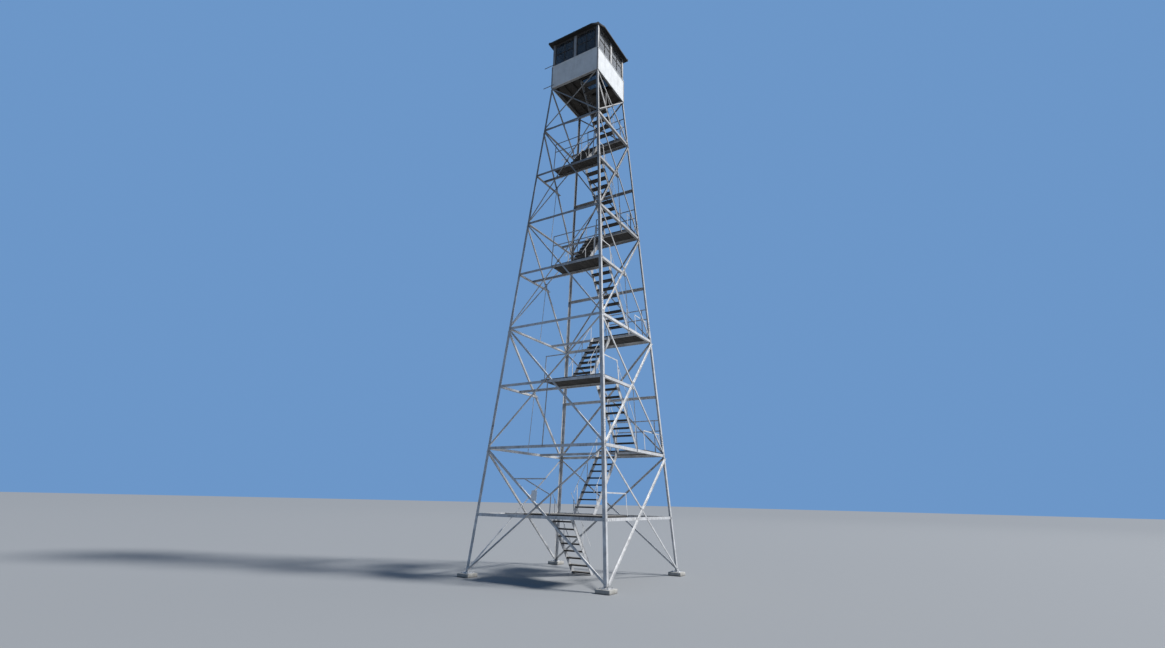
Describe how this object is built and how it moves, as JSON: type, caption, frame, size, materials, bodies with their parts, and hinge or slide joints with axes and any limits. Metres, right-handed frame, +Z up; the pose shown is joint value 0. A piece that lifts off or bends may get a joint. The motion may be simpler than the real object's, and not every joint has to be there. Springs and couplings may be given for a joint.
{
  "type": "fire lookout tower",
  "caption": "Tall open steel lattice tower with a zigzag stair between landings and a small hip-roofed lookout cab with windows all round.",
  "frame": {"origin": "ground level on the tower's centre line", "axes": "+Z up, -Y towards the front, +X to the right seen from the front"},
  "size_m": [5.265, 5.265, 21.022],
  "materials": {
    "galvanised_steel": "weathered galvanised",
    "weathered_timber": "weathered, rough",
    "white_paint": "semi-matt paint",
    "window_glass": "clear, slightly dusty",
    "dark_boards": "dark weathered paint",
    "roof_sheet": "matt dark paint",
    "concrete": "rough cast"
  },
  "bodies": {
    "root": {"leg_front_left": "galvanised_steel", "leg_front_right": "galvanised_steel", "leg_back_right": "galvanised_steel", "leg_back_left": "galvanised_steel", "leg_splices": "galvanised_steel", "piers": "concrete", "base_plates": "galvanised_steel", "bracing_front": "galvanised_steel", "bracing_right": "galvanised_steel", "bracing_back": "galvanised_steel", "bracing_left": "galvanised_steel", "crossing_plates": "galvanised_steel", "girts_front": "galvanised_steel", "girts_right": "galvanised_steel", "girts_back": "galvanised_steel", "girts_left": "galvanised_steel", "landing_joists": "galvanised_steel", "front_landings": "weathered_timber", "back_landings": "weathered_timber", "front_rails": "galvanised_steel", "back_rails": "galvanised_steel", "side_rails": "galvanised_steel", "stringers": "galvanised_steel", "treads_1": "weathered_timber", "treads_2": "weathered_timber", "treads_3": "weathered_timber", "treads_4": "weathered_timber", "treads_5": "weathered_timber", "treads_6": "weathered_timber", "treads_7": "weathered_timber", "treads_8": "weathered_timber", "treads_9": "weathered_timber", "handrails": "galvanised_steel", "cab_floor": "weathered_timber", "cab_joists": "weathered_timber", "cab_wall_front": "white_paint", "cab_wall_right": "white_paint", "cab_wall_back": "white_paint", "cab_wall_left": "white_paint", "corner_posts": "galvanised_steel", "window_sashes": "dark_boards", "window_glass": "window_glass", "cab_arms": "galvanised_steel", "soffit": "dark_boards", "roof": "roof_sheet"}
  },
  "joints": []
}
